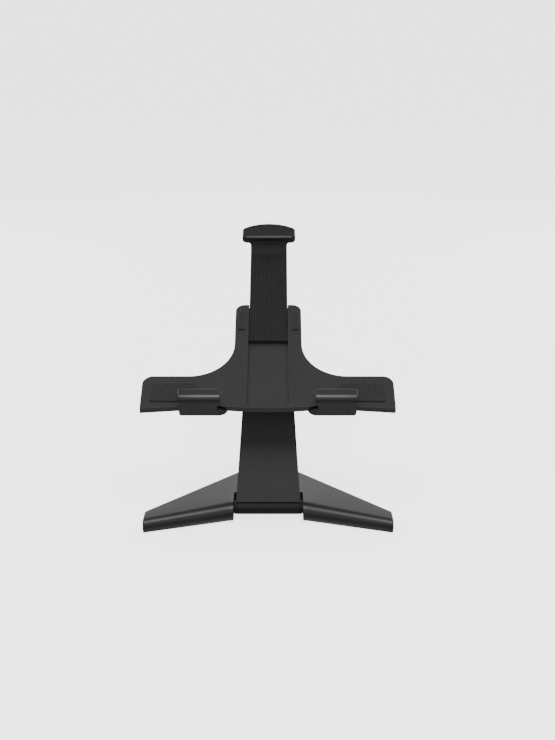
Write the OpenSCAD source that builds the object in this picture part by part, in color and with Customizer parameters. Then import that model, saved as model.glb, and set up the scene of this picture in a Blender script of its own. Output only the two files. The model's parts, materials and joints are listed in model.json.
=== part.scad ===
// Desk stand for a tablet: weighted delta base, leaning arm, and a cradle that tilts, turns and
// clamps. X is to the right, Y is away from the user and Z is up. The origin is on the table,
// straight below the middle of the lower hinge. Millimetres and degrees.

/* [Base] */
// Width of the base across its tips
base_w = 215; // [205:1:225]
// Height of the base beside the notch
base_h = 18; // [18:0.5:20]
// Height of the base's front edge at the tips
tip_h = 12.4; // [12:0.2:14]
// How far the tips sweep forwards of the hinge
tip_sweep = 22.5; // [18:0.5:26]
// How far the rear point of the base lies behind the hinge
apex_y = 94; // [90:1:100]
// Width of the notch that holds the hinge
notch_w = 61; // [61:0.5:62]
// Distance from the hinge back to the notch's rear wall
notch_back = 19; // [18:0.5:21]

/* [Lower hinge] */
// Height of the lower hinge's axis above the table
hinge_z = 12; // [11.8:0.1:12.2]
// Outer radius of the hinge tube
barrel_r = 6; // [5.5:0.1:6]
// Radius of the hinge shaft
shaft_r = 2.5; // [2.3:0.1:2.5]

/* [Arm] */
// Angle that the arm leans back from upright
arm_lean = 26; // [10:1:50]
// Distance between the lower and upper hinge axes
arm_len = 136.7; // [130:0.1:150]
// Width of the arm at the lower hinge
arm_foot_w = 56.5; // [56:0.1:57]
// Width that the arm loses for each millimetre of its length
arm_taper = 0.127; // [0.12:0.001:0.13]
// Thickness of the arm
arm_t = 12; // [12:0.5:14]

/* [Tilt head and turntable] */
// Angle of the cradle's face above level
cradle_rise = 26.2; // [10:0.1:70]
// Distance from the upper hinge's axis to the tablet's back
head_reach = 25; // [25:0.5:28]
// Radius of the turntable
table_r = 28; // [28:0.5:29]

/* [Cradle] */
// Width of the cradle
cradle_w = 211; // [205:1:215]
// Distance from the turntable's centre down to the tablet's lower edge
rest_u = 87.5; // [85:0.5:90]
// Distance from the turntable's centre up to the top of the spine
spine_top = 36; // [35:0.5:38]
// Width of the spine
spine_w = 58; // [57:0.5:60]

/* [Hooks] */
// Width of a hook
hook_w = 35; // [30:1:36]
// Distance from the middle of the cradle to the middle of a hook
hook_x = 56; // [53:0.5:58]
// Thickness of the tablet that the hooks hold
hold_t = 10; // [9:0.5:11]

/* [Clamp] */
// Distance from the hooks' floor to the clamp's lip, fully extended
clamp_open = 200.5; // [199:0.5:202]
// How far the clamp slides in
clamp_travel = 75; // [60:1:75]
// Width of the clamp's stem
stem_w = 33.8; // [33:0.1:34]
// Width of the clamp's head
tee_w = 49.6; // [46:0.2:52]
// Number of ribs on the stem
rib_count = 13; // [7:2:13]

/* [Hidden] */

$fn = 64;
hull_fn = 32;          // sides of the round children of a hull
eps = 0.01;
fit = 0.05;            // radial clearance of a shaft in its hole
gap = 0.3;             // clearance between parts that move past each other
film = 0.1;            // clearance between faces that turn on each other
slack = 0.2;           // clearance of a fixed part in its pocket
thread_r = 1.25;       // small screws: thread, clearance hole, head and head height
screw_hole_r = 1.6;
screw_head_r = 2.5;
screw_head_h = 1.3;

// Base, from the table up
wall = 2.2;
lip_z = 0.8;                                 // lower rim of the shell
pad_top = 1.3;
floor_top = 3.3;
ballast_top = 7.3;
nose_r = (base_h - lip_z) / 2;               // round nose beside the notch
nose_tip_r = (tip_h - lip_z) / 2;            // round nose at the tip
nose_foot_r = 0.8;                           // rounding of the nose's lower edge
nose_foot = 5;                               // that edge lies this far behind the nose's foremost line
tip_foot = 1.3;                              // beside the notch, and this far at the tip
tip_x = base_w / 2;
notch_x = notch_w / 2;
tip_rear_y = 17.5 - tip_sweep;               // rear corner of the tip
rear_r = 3;                                  // rounding of the rear edge
rear_tip_h = 11.3;
apex_r = 9;
apex_h = 15;
base_screw_at = [[84, -6], [40, 36], [10, 66]];
boss_top = [11.9, 13.4, 13.8];               // of each screw's boss, inside the shell's top
boss_r = 3.2;
base_screw_tip = 8;
head_sink = 0.9;                             // from the seat of a sunk screw head to the face
ballast_x = [53, 79];                        // the ballast's ends, clear of the hinge and the tips

// Lower hinge, outwards from the notch
bracket_t = 2.5;
bracket_x = notch_x + wall + gap;
bracket_end_x = 50;
bracket_y = [1, 15];
springs_x = bracket_x + bracket_t;
spring_r = 3.7;
nuts_x = springs_x + 1.6;
nut_t = 3.2;
nut_r = 4;
shaft_end_x = nuts_x + nut_t + 1;
bracket_screw_at = [[46, 5], [46, 12]];
barrel_half = notch_x - 1;
bush_r = 4.2;
bush_len = 8;
bush_flange_r = 5.2;

// Arm, in its own frame: x across, y to the back, z along the arm from the lower hinge
cover_start = 4.5;
cover_wall = 2;
fork_floor = 119;                            // where the fork's gap starts
yoke_z = fork_floor - 15;                    // where the spine widens to carry the ears
spine_half = 12;
spine_t = 2;
ear_t = 2.5;
ear_half = 5;
ear_in = 12;                                 // inner face of each steel ear
ear_out = ear_in + ear_t;
ear_r = 5.8;
knuckle_half = ear_in - 1;
knuckle_r = 7.5;
neck_half = 6;
tilt_r = 2.5;
tilt_head_r = 4.6;
cap_in = 17.6;
disc_spring_t = 1;
arm_screw_at = [[20, 24], [16.9, 98]];
arm_boss_r = 2.6;
arm_head_sink = 1.8;                         // from the covers' joint to the screw heads' seat

// Turntable, in the cradle's frame: x across, y up the cradle, z towards the user
axis_n = -head_reach;
flange_back = -14.4;
flange_top = -11.4;
disc_top = -10;
plate_back = disc_top + film;
plate_top = -7.9;
bolt_head_back = -7.3;
bolt_head_top = -5.5;
bolt_tip = -17.9;
bolt_r = 4;
bolt_thread_r = 3;
bolt_head_r = 7.5;
disc_r = 19.7;
plate_screw_r = 22;

// Cradle, same frame
face_n = -1;                                 // front face of the shells
split_n = -4;                                // where the two shells meet
wing_back = -6.5;
channel_n = -5.2;                            // floor of the clamp's channel
channel_back = -6.9;
skin = 1.6;
edge_u = -rest_u - 0.5;                      // lower edge at the middle
wing_top = -52;                              // upper edge of the wings
wing_fillet = 38;
wing_corner = 9;
spine_corner = 8;
slot_half = stem_w / 2 + gap;
tongue_half = 19;
groove_half = tongue_half + gap;
groove_end = spine_top - 1.7;
cradle_screw_at = [[94, -64], [34, -64], [25, 26], [25, -44]];
hook_tongue_half = 15;
hook_tongue_top = -63;
hook_tongue_n = [-4.8, -2.7];
hook_screw_at = [[-9, -70], [9, -70]];
hook_flare = 5.5;                            // how far a hook's foot widens towards the middle
spring_u = 21.5;                             // middle and half length of the clamp's leaf spring
spring_half = 10;
spring_w = 11;

// Clamp, same frame, fully extended
lip_u = clamp_open - rest_u;
tee_top = lip_u + 21;
tee_back = -5;
tee_front = 13;
ear_back = 5.8;                              // the head is wider than the stem only in front of this
stem_end = lip_u - 122;
tongue_end = groove_end - gap;
tongue_front = -3;
rib_pitch = 2.5;
channel_end = stem_end - clamp_travel - gap;  // lower end of the channel in the cradle
strip_front = -4;
rivet_at = [4, 45, 86];

// Frames of the arm and of the cradle
tilt_axis = [0, arm_len * sin(arm_lean), hinge_z + arm_len * cos(arm_lean)];
cradle_centre = tilt_axis + head_reach * [0, -sin(cradle_rise), cos(cradle_rise)];

module in_arm() {
    translate([0, 0, hinge_z]) rotate([-arm_lean, 0, 0]) children();
}

module in_cradle() {
    translate(cradle_centre) rotate([cradle_rise, 0, 0]) children();
}

// A box between two opposite corners
module block(low, high) {
    translate(low) cube(high - low);
}

// A cylinder along X, centred on point [y, z]
module rod(x0, x1, r, at = [0, 0]) {
    translate([x0, at[0], at[1]]) rotate([0, 90, 0]) cylinder(h = x1 - x0, r = r);
}

// A cylinder along Z from z0 to z1
module post(z0, z1, r, at = [0, 0]) {
    translate([at[0], at[1], z0]) cylinder(h = z1 - z0, r = r);
}

// Extrudes a [y, z] outline along X
module across(x0, x1) {
    translate([x0, 0, 0]) rotate([90, 0, 90]) linear_extrude(x1 - x0) children();
}

// Points of an arc, and a closed outline made of points on the right and their mirror image
function arc(centre, r, from, to, steps = 12) =
    [for (i = [0:steps]) let (turn = from + (to - from) * i / steps) centre + r * [cos(turn), sin(turn)]];
function mirrored(points) =
    concat(points, [for (i = [len(points) - 1:-1:0]) if (points[i][0] > 0) [-points[i][0], points[i][1]]]);

module both_sides() {
    children();
    mirror([1, 0, 0]) children();
}

// A flat-topped hexagonal nut or bolt head along X, flats up and down
module hex_x(x0, x1, r) {
    translate([x0, 0, 0]) rotate([0, 90, 0]) rotate([0, 0, 30]) cylinder(h = x1 - x0, r = r, $fn = 6);
}

// Round-headed screw pointing to +Z from its head's top at z0, with its tip at z1
module screw_up(z0, z1) {
    post(z0, z0 + screw_head_h, screw_head_r);
    post(z0 + screw_head_h, z1, thread_r);
}

/* Base ---------------------------------------------------------------------------------------- */

// One half of the base's outer form, with every surface moved in by "inset"
module base_half(inset) {
    $fn = hull_fn;
    foot = max(nose_foot_r, inset + 0.2);
    hull() {
        rod(notch_x, notch_x + eps, foot - inset, [nose_foot - nose_r + foot, lip_z + foot]);
        rod(tip_x - inset - eps, tip_x - inset, foot - inset,
            [tip_foot - tip_sweep - nose_tip_r + foot, lip_z + foot]);
        rod(0, eps, nose_r - inset, [nose_r, lip_z + nose_r]);
        rod(notch_x, notch_x + eps, nose_r - inset, [0, lip_z + nose_r]);
        rod(tip_x - inset - eps, tip_x - inset, nose_tip_r - inset, [-tip_sweep, lip_z + nose_tip_r]);
        for (z = [lip_z + rear_r, rear_tip_h - rear_r])
            rod(tip_x - inset - eps, tip_x - inset, rear_r - inset, [tip_rear_y - rear_r, z]);
        post(lip_z + inset, apex_h - rear_r - inset, apex_r - inset, [0, apex_y - apex_r]);
        post(lip_z + inset, apex_h - inset, apex_r - rear_r - inset / 2, [0, apex_y - apex_r]);
    }
}

// A slab with the outline of the opening under the shell, its edge moved in by "inset"
module floor_slab(z0, z1, inset) {
    translate([0, 0, z0]) linear_extrude(z1 - z0) polygon(mirrored([
        [notch_x + wall + 2 + inset, notch_back + wall + 3 + inset],
        [notch_x + wall + 2 + inset, 1.5 + inset],
        [tip_x - 6 - inset, 2.5 - tip_sweep + inset],
        [tip_x - 6 - inset, tip_rear_y - 5 - inset],
        [apex_r - 3, apex_y - 11 - inset * 1.4]]));
}

module at_base_screws() {
    both_sides() for (at = base_screw_at) translate(at) children();
}

module base_shell() {
    color("#333435") difference() {
        union() {
            difference() {
                both_sides() base_half(0);
                difference() {
                    both_sides() base_half(wall);
                    // walls of the notch
                    block([-notch_x - wall, -base_w, 0], [notch_x + wall, notch_back + wall, base_h]);
                }
                floor_slab(-1, floor_top + eps, 0);
            }
            // bosses for the floor's screws
            both_sides() for (i = [0:2]) post(floor_top, boss_top[i], boss_r, base_screw_at[i]);
        }
        block([-notch_x, -base_w, -1], [notch_x, notch_back, base_h + 1]);
        rod(-notch_x - wall - eps, notch_x + wall + eps, shaft_r + gap, [0, hinge_z]);
        // room for the hinge's springs and nuts under the shell's top
        both_sides() rod(notch_x + wall - eps, shaft_end_x + 0.5, nut_r + 0.2, [0, hinge_z]);
        at_base_screws() post(floor_top - 1, base_screw_tip + 0.5, thread_r);
    }
}

module base_floor() {
    color("#28292a") difference() {
        floor_slab(pad_top, floor_top, fit);
        at_base_screws() {
            post(0, floor_top + 1, screw_hole_r);
            post(0, pad_top + head_sink, screw_head_r + gap);
        }
        both_sides() for (at = bracket_screw_at) post(0, floor_top + 1, thread_r, at);
    }
}

module base_ballast() {
    color("#8a8d90") difference() {
        floor_slab(floor_top, ballast_top, 4);
        both_sides() {
            block([0, -10, 0], [ballast_x[0], notch_back, base_h]);
            block([ballast_x[1], -base_w, 0], [base_w, base_w, base_h]);
        }
        at_base_screws() post(0, base_h, boss_r + 0.8);
    }
}

module base_pad() {
    color("#1b1b1c") difference() {
        floor_slab(0, pad_top, 2.5);
        at_base_screws() post(-1, pad_top + 1, screw_head_r + head_sink);
    }
}

module base_screws() {
    color("silver") at_base_screws() screw_up(pad_top + head_sink - screw_head_h, base_screw_tip);
}

module hinge_bracket() {
    difference() {
        union() {
            across(bracket_x, springs_x) {
                translate([0, hinge_z]) circle(r = spring_r);
                polygon([[bracket_y[0], floor_top], [bracket_y[1], floor_top],
                    [bracket_y[1], 7], [3, 14.8], [-2.6, 9.4]]);
            }
            block([bracket_x, bracket_y[0], floor_top], [bracket_end_x, bracket_y[1], floor_top + 2]);
        }
        rod(0, tip_x, shaft_r, [0, hinge_z]);
        for (at = bracket_screw_at) post(0, hinge_z, screw_hole_r, at);
    }
}

module hinge_bracket_right() {
    color("#9a9da0") hinge_bracket();
}

module hinge_bracket_left() {
    color("#9a9da0") mirror([1, 0, 0]) hinge_bracket();
}

module bracket_screws() {
    color("silver") both_sides() for (at = bracket_screw_at)
        translate([at[0], at[1], floor_top + 2 + screw_head_h]) mirror([0, 0, 1]) screw_up(0, 4.6);
}

module hinge_shaft() {
    color("silver") rod(-shaft_end_x, shaft_end_x, shaft_r, [0, hinge_z]);
}

module hinge_springs() {
    color("#b0a070") both_sides() difference() {
        rod(springs_x, nuts_x, spring_r, [0, hinge_z]);
        rod(0, tip_x, shaft_r, [0, hinge_z]);
    }
}

module hinge_nuts() {
    color("silver") both_sides() translate([0, 0, hinge_z]) difference() {
        hex_x(nuts_x, nuts_x + nut_t, nut_r);
        rod(0, tip_x, shaft_r);
    }
}

/* Arm ----------------------------------------------------------------------------------------- */

module arm_barrel() {
    color("#232324") in_arm() difference() {
        rod(-barrel_half, barrel_half, barrel_r);
        rod(-barrel_half - 1, barrel_half + 1, shaft_r + 0.5);
        both_sides() rod(barrel_half - bush_len, barrel_half + 1, bush_r);
    }
}

module arm_bushes() {
    color("#d8d4c8") in_arm() both_sides() difference() {
        union() {
            rod(barrel_half - bush_len, barrel_half, bush_r);
            rod(barrel_half, notch_x - gap, bush_flange_r);
        }
        rod(0, tip_x, shaft_r + fit);
    }
}

module arm_spine() {
    color("#9a9da0") in_arm() difference() {
        union() {
            block([-spine_half, -spine_t / 2, 0], [spine_half, spine_t / 2, yoke_z + 1]);
            block([-ear_out, -spine_t / 2, yoke_z], [ear_out, spine_t / 2, fork_floor - cover_wall]);
            both_sides() {
                block([ear_in, -ear_half, yoke_z], [ear_out, ear_half, arm_len]);
                rod(ear_in, ear_out, ear_r, [0, arm_len]);
            }
        }
        rod(-notch_x, notch_x, barrel_r);
        rod(-notch_x, notch_x, tilt_r, [0, arm_len]);
    }
}

// Half width of the arm at distance a along it
function arm_half(a) = (arm_foot_w - arm_taper * a) / 2;

// Outer form of the arm's cover, with its faces moved in by "inset"
module arm_form(inset) {
    a0 = cover_start + inset;
    a1 = arm_len + arm_t / 2 - inset;
    half_t = arm_t / 2 - inset;
    intersection() {
        rotate([90, 0, 0]) linear_extrude(arm_t + 2, center = true)
            polygon([[-arm_half(a0) + inset, a0], [arm_half(a0) - inset, a0],
                [arm_half(a1) - inset, a1], [-arm_half(a1) + inset, a1]]);
        across(-arm_foot_w, arm_foot_w) {
            translate([-half_t, a0]) square([2 * half_t, arm_len - a0]);
            translate([0, arm_len]) circle(r = half_t);
        }
    }
}

module arm_cover_half(side) {
    in_arm() intersection() {
        difference() {
            union() {
                difference() {
                    arm_form(0);
                    intersection() {
                        arm_form(cover_wall);
                        block([-arm_foot_w, -arm_t, 0], [arm_foot_w, arm_t, fork_floor - cover_wall]);
                    }
                }
                both_sides() for (at = arm_screw_at)
                    translate([at[0], 0, at[1]]) rotate([90, 0, 0])
                        cylinder(h = arm_t - 1, r = arm_boss_r, center = true);
            }
            // gap of the fork, with its steel ears
            block([-ear_out - slack, -arm_t, fork_floor], [ear_out + slack, arm_t, arm_len + arm_t]);
            both_sides() {
                block([ear_in - slack, -ear_half - slack, yoke_z - 5],
                    [ear_out + slack, ear_half + slack, arm_len]);
                rod(ear_out, notch_x, tilt_head_r + slack, [0, arm_len]);
            }
            // slot for the spine in the lower wall
            block([-spine_half - slack, -spine_t / 2 - 0.1, 0], [spine_half + slack, spine_t / 2 + 0.1, 12]);
            rod(-notch_x, notch_x, barrel_r + gap);
            both_sides() for (at = arm_screw_at) translate([at[0], 0, at[1]]) rotate([90, 0, 0]) {
                cylinder(h = 3.6, r = thread_r);
                translate([0, 0, -arm_t]) cylinder(h = arm_t, r = screw_hole_r);
                translate([0, 0, -arm_t]) cylinder(h = arm_t / 2 + arm_head_sink, r = screw_head_r + gap);
            }
        }
        front = side < 0 ? -arm_t : 0;
        block([-arm_foot_w, front, 0], [arm_foot_w, front + arm_t, arm_len + arm_t]);
    }
}

module arm_front() {
    color("#343536") arm_cover_half(-1);
}

module arm_back() {
    color("#303132") arm_cover_half(1);
}

module arm_screws() {
    color("#404040") in_arm() both_sides() for (at = arm_screw_at)
        translate([at[0], arm_t / 2 - 0.5, at[1]]) rotate([90, 0, 0]) screw_up(0, 8.5);
}

module in_tilt_axis() {
    in_arm() translate([0, 0, arm_len]) children();
}

module tilt_bolt() {
    color("silver") in_tilt_axis() {
        rod(-ear_out, cap_in, tilt_r);
        hex_x(-cap_in, -ear_out, tilt_head_r);
    }
}

module tilt_springs() {
    color("#b0a070") in_tilt_axis() difference() {
        rod(ear_out, ear_out + disc_spring_t, 4.2);
        rod(0, notch_x, tilt_r);
    }
}

module tilt_nut() {
    color("silver") in_tilt_axis() difference() {
        hex_x(ear_out + disc_spring_t, cap_in, tilt_head_r);
        rod(0, notch_x, tilt_r);
    }
}

module tilt_caps() {
    color("#2b2c2d") in_tilt_axis() both_sides()
        rod(cap_in, arm_half(arm_len) + 0.2, tilt_head_r + slack);
}

/* Tilt head ----------------------------------------------------------------------------------- */

module head_knuckle() {
    color("#2e2f30") in_cradle() difference() {
        union() {
            rod(-knuckle_half, knuckle_half, knuckle_r, [0, axis_n]);
            block([-knuckle_half, -neck_half, axis_n], [knuckle_half, neck_half, flange_back + eps]);
            post(flange_back, flange_top, table_r);
            // gussets between the neck and the flange
            both_sides() across(5, 8) polygon([[-15, flange_back + eps], [-neck_half, axis_n + 4],
                [neck_half, axis_n + 4], [15, flange_back + eps]]);
        }
        rod(-notch_x, notch_x, tilt_r + fit, [0, axis_n]);
        post(bolt_tip - 0.1, flange_top + 1, bolt_thread_r);
    }
}

module tilt_washers() {
    color("#d8d4c8") in_cradle() both_sides() difference() {
        rod(knuckle_half, ear_in - film, 5.6, [0, axis_n]);
        rod(0, notch_x, tilt_r + fit, [0, axis_n]);
    }
}

module swivel_disc() {
    color("#d8d4c8") in_cradle() difference() {
        post(flange_top, disc_top, disc_r);
        post(flange_top - 1, disc_top + 1, bolt_r);
    }
}

module swivel_bolt() {
    color("silver") in_cradle() {
        post(bolt_tip, flange_top, bolt_thread_r);
        post(flange_top, bolt_head_back, bolt_r);
        post(bolt_head_back, bolt_head_top, bolt_head_r);
    }
}

module swivel_spring() {
    color("#b0a070") in_cradle() difference() {
        post(plate_top + film, bolt_head_back, bolt_head_r - 0.3);
        post(plate_back, bolt_head_top, bolt_r);
    }
}

/* Cradle -------------------------------------------------------------------------------------- */

module at_plate_screws() {
    for (turn = [45:90:315]) rotate([0, 0, turn]) translate([plate_screw_r, 0, 0]) children();
}

module swivel_plate() {
    color("#a5a8ab") in_cradle() difference() {
        post(plate_back, plate_top, table_r - 2.8);
        post(plate_back - 1, plate_top + 1, bolt_r + fit);
        at_plate_screws() post(plate_back - 1, plate_top + 1, thread_r);
    }
}

module swivel_screws() {
    color("silver") in_cradle() at_plate_screws() {
        post(plate_back - 1.1, plate_back, 1.9);
        post(plate_back, channel_n - 0.5, thread_r);
    }
}

// Outline of the cradle: wide wings, a spine, and a lower edge that bows down in the middle
module cradle_outline() {
    half = cradle_w / 2;
    spine = spine_w / 2;
    bow_half = hook_x - hook_w / 2;
    bow = [for (x = [0:bow_half / 8:bow_half]) [x, edge_u + 2 * pow(x / bow_half, 2)]];
    ends = [[hook_x + hook_w / 2, edge_u + 1.5], [half, edge_u - 1]];
    polygon(mirrored(concat(bow, ends,
        arc([half - wing_corner, wing_top - wing_corner], wing_corner, 0, 90),
        arc([spine + wing_fillet, wing_top + wing_fillet], wing_fillet, 270, 180),
        arc([spine - spine_corner, spine_top - spine_corner], spine_corner, 0, 90))));
}

// The hollows between the two shells, in the wings and along the spine
module cradle_hollow() {
    half = cradle_w / 2 - 2.2;
    both_sides() {
        translate([groove_half + 2.2, edge_u + 5]) square([half - groove_half - 2.2, 24]);
        translate([groove_half + 2.2, wing_top - 8]) square([4.2, 79]);
    }
}

module at_cradle_screws() {
    both_sides() for (at = cradle_screw_at) translate(at) children();
}

module at_hook_screws() {
    both_sides() for (at = hook_screw_at) translate([hook_x + at[0], at[1]]) children();
}

// Pocket for the hooks' tongues between the two shells
module hook_pockets(n0, n1) {
    both_sides() block([hook_x - hook_tongue_half - gap, edge_u - 5, n0],
        [hook_x + hook_tongue_half + gap, hook_tongue_top + gap, n1]);
}

module cradle_front() {
    color("#2d2e2f") in_cradle() difference() {
        translate([0, 0, split_n]) linear_extrude(face_n - split_n) cradle_outline();
        difference() {
            translate([0, 0, split_n - 1]) linear_extrude(face_n - skin - split_n + 1) cradle_hollow();
            at_cradle_screws() post(split_n - 1, face_n, 3);
        }
        hook_pockets(split_n - 1, hook_tongue_n[1] + 0.2);
        // channel of the clamp, open to the front
        block([-slot_half, channel_end, split_n - 1], [slot_half, spine_top + 1, 1]);
        block([-groove_half, channel_end, split_n - 1], [groove_half, groove_end, tongue_front + slack]);
        at_cradle_screws() post(split_n - 1, face_n - 0.8, thread_r);
    }
}

module cradle_back() {
    color("#28292a") in_cradle() difference() {
        union() {
            translate([0, 0, wing_back]) linear_extrude(split_n - wing_back) cradle_outline();
            block([-groove_half - 2, edge_u + 2, channel_back],
                [groove_half + 2, spine_top - 2, wing_back + 1]);
            post(-11, wing_back + 1, table_r);
        }
        difference() {
            translate([0, 0, wing_back + skin]) linear_extrude(4) cradle_hollow();
            at_cradle_screws() post(wing_back, split_n + 1, 3.4);
        }
        hook_pockets(hook_tongue_n[0] - 0.1, split_n + 1);
        block([-groove_half, channel_end, channel_n], [groove_half, groove_end, 1]);
        block([-slot_half, 0, channel_n], [slot_half, spine_top + 1, 1]);
        // room for the turntable and for the bolt's head
        post(-12, plate_top, table_r - 2.5);
        post(-12, 0, bolt_head_r + 1);
        at_plate_screws() post(-12, channel_n - 0.4, thread_r);
        // pocket of the leaf spring
        block([-spring_w / 2 - 1, spring_u - spring_half - 0.5, channel_n - 1.2],
            [spring_w / 2 + 1, spring_u + spring_half + 0.5, 0]);
        at_cradle_screws() {
            post(-12, 0, screw_hole_r);
            post(-12, wing_back + screw_head_h, screw_head_r + gap);
        }
        at_hook_screws() {
            post(-12, 0, screw_hole_r);
            post(-12, wing_back + head_sink, screw_head_r + gap);
        }
    }
}

module cradle_screws() {
    color("#404040") in_cradle() at_cradle_screws() translate([0, 0, wing_back]) screw_up(0, 4.4);
}

// Side profile of a hook in [u, n]
module hook_profile() {
    inner_u = -rest_u - 1;
    outer_u = -rest_u - 4.2;
    outer_n = hold_t + 4.2;
    lip_top = -80;
    bend = 5.5;
    foot_u = -rest_u - 0.6;
    difference() {
        union() {
            translate([outer_u, wing_back])
                square([foot_u - outer_u + 0.05, outer_n - bend - wing_back]);
            translate([outer_u + bend, wing_back])
                square([1 - rest_u - outer_u - bend, outer_n - wing_back]);
            translate([outer_u + bend, outer_n - bend]) circle(r = bend);
            translate([outer_u + bend, hold_t + 1]) square([lip_top - 1.6 - outer_u - bend, 3.2]);
            translate([lip_top - 1.6, hold_t + 2.6]) circle(r = 1.6);
        }
        translate([inner_u + 2, face_n]) square([20, hold_t + 2]);
        translate([inner_u, 1]) square([20, hold_t - 2]);
        translate([inner_u + 2, hold_t - 1]) circle(r = 2);
        translate([inner_u, face_n - 9]) square([20, 10.05]);
    }
}

module hook(side) {
    in_cradle() difference() {
        union() {
            translate([hook_x * side - hook_w / 2, 0, 0]) rotate([90, 0, 90])
                linear_extrude(hook_w) hook_profile();
            // tongue that goes up between the cradle's shells
            block([hook_x * side - hook_tongue_half, -rest_u - 3, hook_tongue_n[0]],
                [hook_x * side + hook_tongue_half, hook_tongue_top, hook_tongue_n[1]]);
            // foot that widens towards the middle of the cradle
            hook_foot(side);
        }
        at_hook_screws() post(-12, 0, thread_r);
    }
}

// Round web that widens the hook's foot towards the middle, under the cradle's lower edge
module hook_foot(side) {
    inner_x = hook_x - hook_w / 2;
    foot_h = 3.2;
    mirror([side > 0 ? 0 : 1, 0, 0]) translate([inner_x, edge_u - 0.2, wing_back]) linear_extrude(5)
        polygon(concat([[1, 0], [1, -foot_h]],
            [for (turn = [0:10:90]) [-hook_flare * sin(turn), -foot_h * cos(turn)]]));
}

module hook_right() {
    color("#2b2c2d") hook(1);
}

module hook_left() {
    color("#2b2c2d") hook(-1);
}

module hook_screws() {
    color("#404040") in_cradle() at_hook_screws() {
        post(wing_back + head_sink - screw_head_h, wing_back + head_sink, screw_head_r);
        post(wing_back + head_sink, hook_tongue_n[1] - 0.1, thread_r);
    }
}

module hook_pads() {
    color("#1b1b1c") in_cradle() both_sides()
        translate([hook_x - hook_w / 2 + 2, 0, 0]) rotate([90, 0, 90]) linear_extrude(hook_w - 4) {
            translate([-rest_u - 1, 1.5]) square([1, hold_t - 3]);
            translate([-85.5, hold_t]) square([3.5, 1]);
        }
}

module ribbed_pad(x0, x1, u0, u1) {
    pitch = 2;
    difference() {
        block([x0, u0, face_n], [x1, u1, 0]);
        for (x = [x0 + pitch:pitch:x1 - pitch / 2]) block([x - 0.4, u0 + 1, -0.5], [x + 0.4, u1 - 1, 1]);
    }
}

module cradle_pads() {
    color("#1b1b1c") in_cradle() both_sides() {
        ribbed_pad(60, 98, edge_u + 7, wing_top - 9);
        ribbed_pad(20.6, 26.6, 4, 26);
    }
}

module clamp_spring() {
    rise = 1.05;
    bend_r = (spring_half * spring_half + rise * rise) / (2 * rise);
    color("silver") in_cradle() across(-spring_w / 2, spring_w / 2)
        translate([spring_u, channel_n - 1.15 - bend_r + rise])
        intersection() {
            difference() {
                circle(r = bend_r + 0.2, $fn = 256);
                circle(r = bend_r - 0.2, $fn = 256);
            }
            translate([-spring_half, bend_r - rise]) square([2 * spring_half, 4]);
        }
}

/* Clamp --------------------------------------------------------------------------------------- */

// Side profile of the clamp in [u, n]: stem, concave throat, head with rounded edges
module tee_profile() {
    throat = 9;
    nose = 3;
    crown = 2;
    translate([stem_end, tee_back]) square([tee_top - crown - stem_end, face_n - tee_back]);
    translate([lip_u, tee_back]) square([tee_top - crown - lip_u, tee_front - nose - tee_back]);
    translate([lip_u + nose, tee_back]) square([tee_top - crown - nose - lip_u, tee_front - tee_back]);
    translate([lip_u + nose, tee_front - nose]) circle(r = nose);
    translate([tee_top - crown - eps, tee_back]) square([crown + eps, tee_front - crown - tee_back]);
    translate([tee_top - crown, tee_front - crown]) circle(r = crown);
    difference() {
        translate([lip_u - throat, face_n - eps]) square([throat + eps, throat]);
        translate([lip_u - throat, face_n + throat]) circle(r = throat);
    }
}

// The clamp between two distances from its middle, cut off by the arch of the head
module tee_plate(half, low_u, low_n, corner) {
    arch_drop = 7.5;
    arch_r = (pow(tee_w / 2, 2) + arch_drop * arch_drop) / (2 * arch_drop);
    translate([0, 0, low_n]) linear_extrude(tee_front - low_n) intersection() {
        translate([0, tee_top - arch_r]) circle(r = arch_r, $fn = 128);
        union() {
            translate([-half + corner, low_u]) square([2 * (half - corner), tee_top - low_u]);
            translate([-half, low_u + corner]) square([2 * half, tee_top - low_u]);
            if (corner > 0) both_sides() translate([half - corner, low_u + corner]) circle(r = corner);
        }
    }
}

module clamp_tee() {
    color("#2f3031") in_cradle() difference() {
        union() {
            intersection() {
                union() {
                    block([-stem_w / 2, stem_end, tee_back], [stem_w / 2, lip_u + 1, tee_front]);
                    tee_plate(stem_w / 2, lip_u, tee_back, 0);
                    tee_plate(tee_w / 2, lip_u - 2, ear_back, 4);
                }
                across(-tee_w, tee_w) tee_profile();
            }
            block([-tongue_half, stem_end, tee_back], [tongue_half, tongue_end, tongue_front]);
        }
        // grooves between the ribs
        for (i = [0:rib_count]) translate([(i - rib_count / 2) * rib_pitch, 0, 0])
            block([-0.6, stem_end + 1, face_n - 0.5], [0.6, lip_u - 7, face_n + 1]);
        // recess for the stiffener
        block([-8.1, stem_end + 3.9, tee_back - 1], [8.1, lip_u - 13.9, strip_front]);
        for (u = rivet_at) post(tee_back, face_n - 1, 1.5, [0, u]);
    }
}

module clamp_strip() {
    color("#a5a8ab") in_cradle() difference() {
        block([-8, stem_end + 4, tee_back + 0.05], [8, lip_u - 14, strip_front]);
        for (u = rivet_at) post(tee_back - 1, 0, 1.5, [0, u]);
    }
}

module clamp_rivets() {
    color("silver") in_cradle() for (u = rivet_at) post(tee_back + 0.05, face_n - 1.1, 1.5, [0, u]);
}

base_shell();
base_floor();
base_ballast();
base_pad();
base_screws();
hinge_bracket_left();
hinge_bracket_right();
bracket_screws();
hinge_shaft();
hinge_springs();
hinge_nuts();
arm_barrel();
arm_bushes();
arm_spine();
arm_front();
arm_back();
arm_screws();
tilt_bolt();
tilt_springs();
tilt_nut();
tilt_caps();
head_knuckle();
tilt_washers();
swivel_disc();
swivel_bolt();
swivel_spring();
swivel_plate();
swivel_screws();
cradle_front();
cradle_back();
cradle_screws();
hook_left();
hook_right();
hook_screws();
hook_pads();
cradle_pads();
clamp_spring();
clamp_tee();
clamp_strip();
clamp_rivets();
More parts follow.
